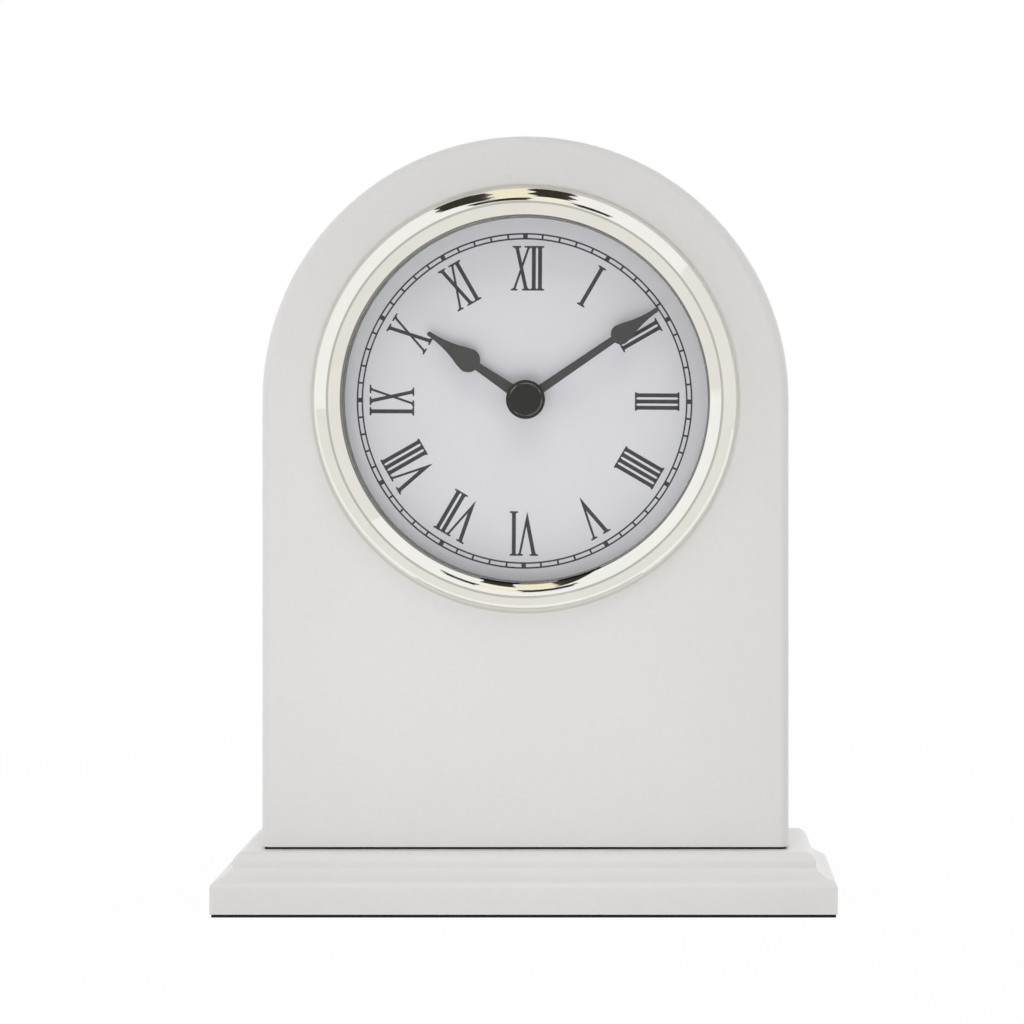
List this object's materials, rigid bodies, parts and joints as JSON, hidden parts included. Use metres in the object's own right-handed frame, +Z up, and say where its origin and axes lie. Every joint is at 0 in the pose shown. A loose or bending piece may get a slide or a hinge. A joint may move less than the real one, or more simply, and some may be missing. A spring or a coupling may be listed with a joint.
{
  "type": "mantel clock",
  "caption": "Arch-topped mantel clock: painted case on a moulded plinth, round glazed dial in a polished bezel, two hands and a battery movement set from behind.",
  "frame": {"origin": "middle of the footprint, on the surface that the clock stands on", "axes": "+Z up, -Y towards the viewer of the dial, +X to that viewer's right"},
  "size_m": [0.16, 0.06, 0.2],
  "materials": {
    "satin_paint": "satin white paint on fibreboard",
    "black_felt": "matte felt",
    "dark_gasket": "matte",
    "zinc_screw": "bright zinc",
    "polished_nickel": "polished, warm",
    "clear_glass": "clear, polished",
    "dial_white": "matte print",
    "white_plastic": "matte",
    "hand_black": "satin black",
    "cap_black": "gloss black",
    "black_plastic": "fine spark texture",
    "gear_plastic": "smooth natural acetal",
    "brass": "turned",
    "steel": "rolled",
    "black_rubber": "matte",
    "magnet": "dark grey",
    "copper": "enamelled copper wire",
    "board_green": "solder mask",
    "chip_black": "potted",
    "nickel_strip": "nickel plated spring strip",
    "cell_wrap": "gloss sleeve over a steel can"
  },
  "bodies": {
    "case": {"base_felt": "black_felt", "plinth": "satin_paint", "plinth_screws": "zinc_screw", "seat_gasket": "dark_gasket", "case_front_panel": "satin_paint", "case_arch_frame": "satin_paint", "case_back_panel": "satin_paint", "back_panel_screws": "zinc_screw", "bezel": "polished_nickel", "bezel_sleeve": "polished_nickel", "bezel_clips": "steel", "clip_screws": "zinc_screw", "glass": "clear_glass", "dial_spacer_ring": "white_plastic", "dial_plate": "dial_white", "steel_washer": "steel", "rubber_washer": "black_rubber", "fixing_nut": "brass", "movement_front_shell": "black_plastic", "movement_back_shell": "black_plastic", "movement_mid_plate": "black_plastic", "stator": "steel", "coil_core": "steel", "coil_bobbin": "white_plastic", "coil_winding": "copper", "circuit_board": "board_green", "chip": "chip_black", "quartz_crystal": "steel", "positive_contact": "nickel_strip", "negative_contact": "nickel_strip"},
    "minute_hand_arbor": {"minute_hand": "hand_black", "hand_cap": "cap_black", "minute_arbor": "brass"},
    "hour_hand_pipe": {"hour_hand": "hand_black", "hour_wheel": "gear_plastic"},
    "motion_wheel": {"motion_wheel": "gear_plastic"},
    "setting_knob": {"setting_knob": "black_plastic"},
    "rotor": {"rotor_pinion": "gear_plastic", "rotor_magnet": "magnet"},
    "intermediate_wheel": {"intermediate_wheel": "gear_plastic"},
    "second_wheel": {"second_wheel": "gear_plastic"},
    "third_wheel": {"third_wheel": "gear_plastic"},
    "centre_wheel": {"centre_wheel": "gear_plastic"},
    "battery_cell": {"battery_cell": "cell_wrap"}
  },
  "joints": [
    {"name": "minute_hand_turn", "type": "hinge", "parent": "case", "child": "minute_hand_arbor", "pos_m": [0, -0.0077, 0.132], "axis": [0, 1, 0], "continuous": true},
    {"name": "hour_hand_turn", "type": "hinge", "parent": "case", "child": "hour_hand_pipe", "pos_m": [0, -0.0077, 0.132], "axis": [0, 1, 0], "continuous": true},
    {"name": "motion_wheel_turn", "type": "hinge", "parent": "case", "child": "motion_wheel", "pos_m": [-0.00739, -0.0077, 0.1333], "axis": [0, 1, 0], "continuous": true},
    {"name": "setting_knob_turn", "type": "hinge", "parent": "case", "child": "setting_knob", "pos_m": [-0.01443, -0.0077, 0.13074], "axis": [0, 1, 0], "continuous": true},
    {"name": "rotor_turn", "type": "hinge", "parent": "case", "child": "rotor", "pos_m": [0.016, -0.0077, 0.14406], "axis": [0, 1, 0], "continuous": true},
    {"name": "intermediate_wheel_turn", "type": "hinge", "parent": "case", "child": "intermediate_wheel", "pos_m": [0.01074, -0.0077, 0.14215], "axis": [0, 1, 0], "continuous": true},
    {"name": "second_wheel_turn", "type": "hinge", "parent": "case", "child": "second_wheel", "pos_m": [0.00483, -0.0077, 0.14319], "axis": [0, 1, 0], "continuous": true},
    {"name": "third_wheel_turn", "type": "hinge", "parent": "case", "child": "third_wheel", "pos_m": [-0.00156, -0.0077, 0.14086], "axis": [0, 1, 0], "continuous": true},
    {"name": "centre_wheel_turn", "type": "hinge", "parent": "case", "child": "centre_wheel", "pos_m": [0, -0.0077, 0.132], "axis": [0, 1, 0], "continuous": true},
    {"name": "battery_cell_slide", "type": "slide", "parent": "case", "child": "battery_cell", "axis": [0, 1, 0], "range_m": [0, 0.045]}
  ],
  "couplings": [
    {"joint": "motion_wheel_turn", "follows": "minute_hand_turn", "ratio": -0.33333},
    {"joint": "hour_hand_turn", "follows": "minute_hand_turn", "ratio": 0.083333},
    {"joint": "setting_knob_turn", "follows": "minute_hand_turn", "ratio": 1},
    {"joint": "intermediate_wheel_turn", "follows": "rotor_turn", "ratio": -0.16667},
    {"joint": "second_wheel_turn", "follows": "rotor_turn", "ratio": 0.033333},
    {"joint": "third_wheel_turn", "follows": "rotor_turn", "ratio": -0.0044444},
    {"joint": "centre_wheel_turn", "follows": "rotor_turn", "ratio": 0.00055556}
  ]
}
